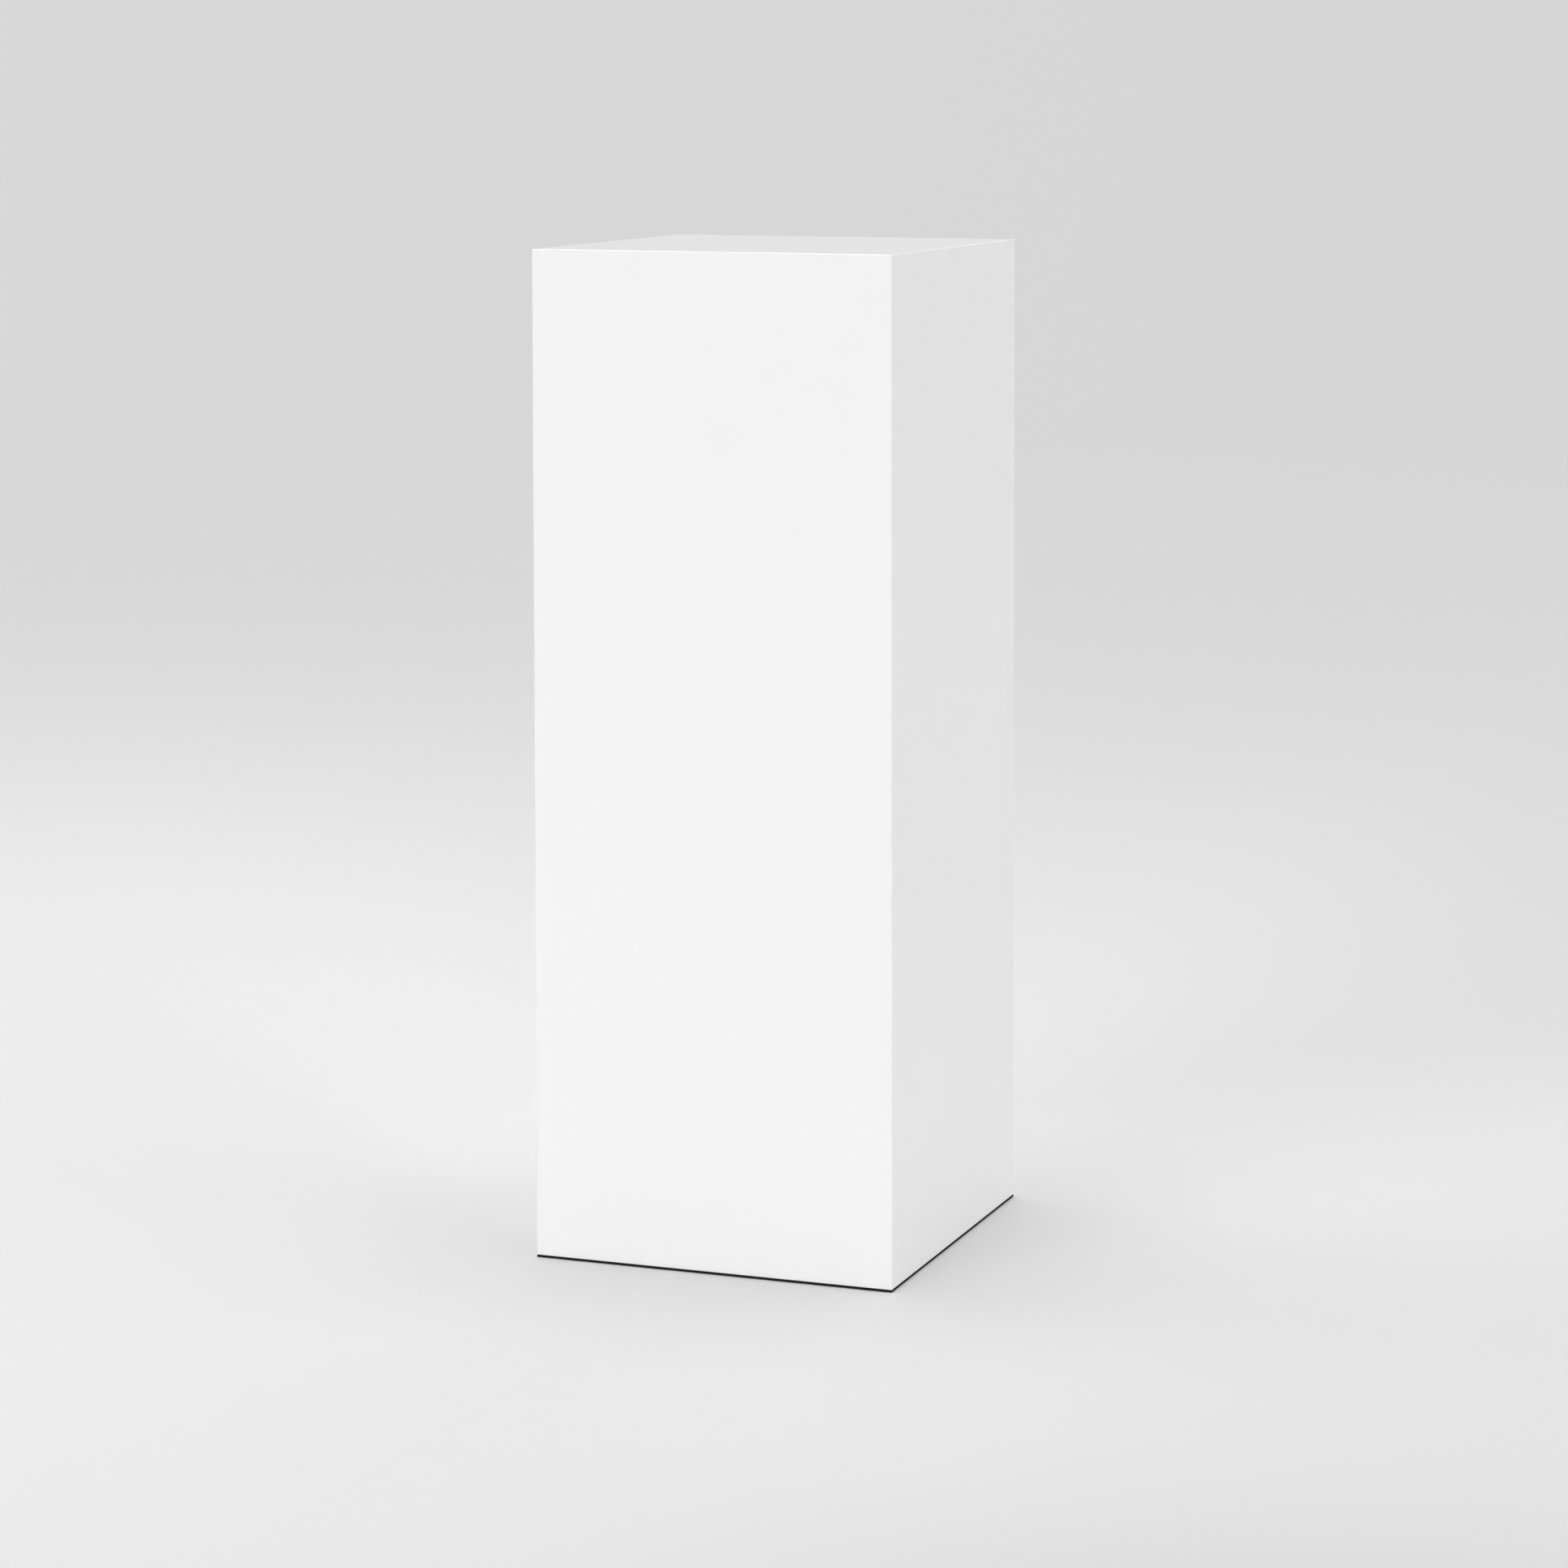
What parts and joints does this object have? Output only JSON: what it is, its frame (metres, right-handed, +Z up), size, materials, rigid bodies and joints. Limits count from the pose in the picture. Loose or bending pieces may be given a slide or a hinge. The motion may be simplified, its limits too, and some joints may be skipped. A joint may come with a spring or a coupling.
{
  "type": "display plinth",
  "caption": "Tall square white-lacquered display plinth: mitred boards over a batten frame, standing on levelling feet with a thin shadow gap at the floor.",
  "frame": {"origin": "on the floor under the middle of the footprint", "axes": "+Z up, front of the plinth faces -Y, right-hand side faces +X"},
  "size_m": [0.375, 0.375, 1.0025],
  "materials": {
    "white_lacquer": "satin",
    "birch_plywood": "matte",
    "softwood": "matte",
    "zinc_steel": "satin",
    "black_rubber": "matte",
    "black_nylon": "matte"
  },
  "bodies": {
    "plinth_box": {"panel_top": "white_lacquer", "panel_front": "white_lacquer", "panel_right": "white_lacquer", "panel_back": "white_lacquer", "panel_left": "white_lacquer", "base_board": "birch_plywood", "top_tongue_front": "birch_plywood", "top_tongue_right": "birch_plywood", "top_tongue_back": "birch_plywood", "top_tongue_left": "birch_plywood", "corner_tongue_front_right": "birch_plywood", "corner_tongue_back_right": "birch_plywood", "corner_tongue_back_left": "birch_plywood", "corner_tongue_front_left": "birch_plywood", "top_cleat_front": "softwood", "top_cleat_right": "softwood", "top_cleat_back": "softwood", "top_cleat_left": "softwood", "base_rail_front": "softwood", "base_rail_right": "softwood", "base_rail_back": "softwood", "base_rail_left": "softwood", "corner_post_front_right": "softwood", "corner_post_back_right": "softwood", "corner_post_back_left": "softwood", "corner_post_front_left": "softwood", "kick_strip_front": "black_rubber", "kick_strip_right": "black_rubber", "kick_strip_back": "black_rubber", "kick_strip_left": "black_rubber", "base_screw_front_1": "zinc_steel", "base_screw_front_2": "zinc_steel", "base_screw_right_1": "zinc_steel", "base_screw_right_2": "zinc_steel", "base_screw_back_1": "zinc_steel", "base_screw_back_2": "zinc_steel", "base_screw_left_1": "zinc_steel", "base_screw_left_2": "zinc_steel", "tee_nut_front_right": "zinc_steel", "tee_nut_back_right": "zinc_steel", "tee_nut_back_left": "zinc_steel", "tee_nut_front_left": "zinc_steel"},
    "pad_front_right": {"foot_pad_front_right": "black_nylon"},
    "stud_front_right": {"foot_stud_front_right": "zinc_steel"},
    "pad_back_right": {"foot_pad_back_right": "black_nylon"},
    "stud_back_right": {"foot_stud_back_right": "zinc_steel"},
    "pad_back_left": {"foot_pad_back_left": "black_nylon"},
    "stud_back_left": {"foot_stud_back_left": "zinc_steel"},
    "pad_front_left": {"foot_pad_front_left": "black_nylon"},
    "stud_front_left": {"foot_stud_front_left": "zinc_steel"}
  },
  "joints": [
    {"name": "foot_front_right_height", "type": "slide", "parent": "plinth_box", "child": "pad_front_right", "axis": [0, 0, -1], "range_m": [0, 0.015]},
    {"name": "foot_front_right_turn", "type": "hinge", "parent": "pad_front_right", "child": "stud_front_right", "pos_m": [0.1175, -0.1175, 0.02], "axis": [0, 0, -1], "range_deg": [0, 3602]},
    {"name": "foot_back_right_height", "type": "slide", "parent": "plinth_box", "child": "pad_back_right", "axis": [0, 0, -1], "range_m": [0, 0.015]},
    {"name": "foot_back_right_turn", "type": "hinge", "parent": "pad_back_right", "child": "stud_back_right", "pos_m": [0.1175, 0.1175, 0.02], "axis": [0, 0, -1], "range_deg": [0, 3602]},
    {"name": "foot_back_left_height", "type": "slide", "parent": "plinth_box", "child": "pad_back_left", "axis": [0, 0, -1], "range_m": [0, 0.015]},
    {"name": "foot_back_left_turn", "type": "hinge", "parent": "pad_back_left", "child": "stud_back_left", "pos_m": [-0.1175, 0.1175, 0.02], "axis": [0, 0, -1], "range_deg": [0, 3602]},
    {"name": "foot_front_left_height", "type": "slide", "parent": "plinth_box", "child": "pad_front_left", "axis": [0, 0, -1], "range_m": [0, 0.015]},
    {"name": "foot_front_left_turn", "type": "hinge", "parent": "pad_front_left", "child": "stud_front_left", "pos_m": [-0.1175, -0.1175, 0.02], "axis": [0, 0, -1], "range_deg": [0, 3602]}
  ],
  "couplings": [
    {"joint": "foot_front_right_turn", "follows": "foot_front_right_height", "rad_per_m": 4188.8},
    {"joint": "foot_back_right_turn", "follows": "foot_back_right_height", "rad_per_m": 4188.8},
    {"joint": "foot_back_left_turn", "follows": "foot_back_left_height", "rad_per_m": 4188.8},
    {"joint": "foot_front_left_turn", "follows": "foot_front_left_height", "rad_per_m": 4188.8}
  ]
}
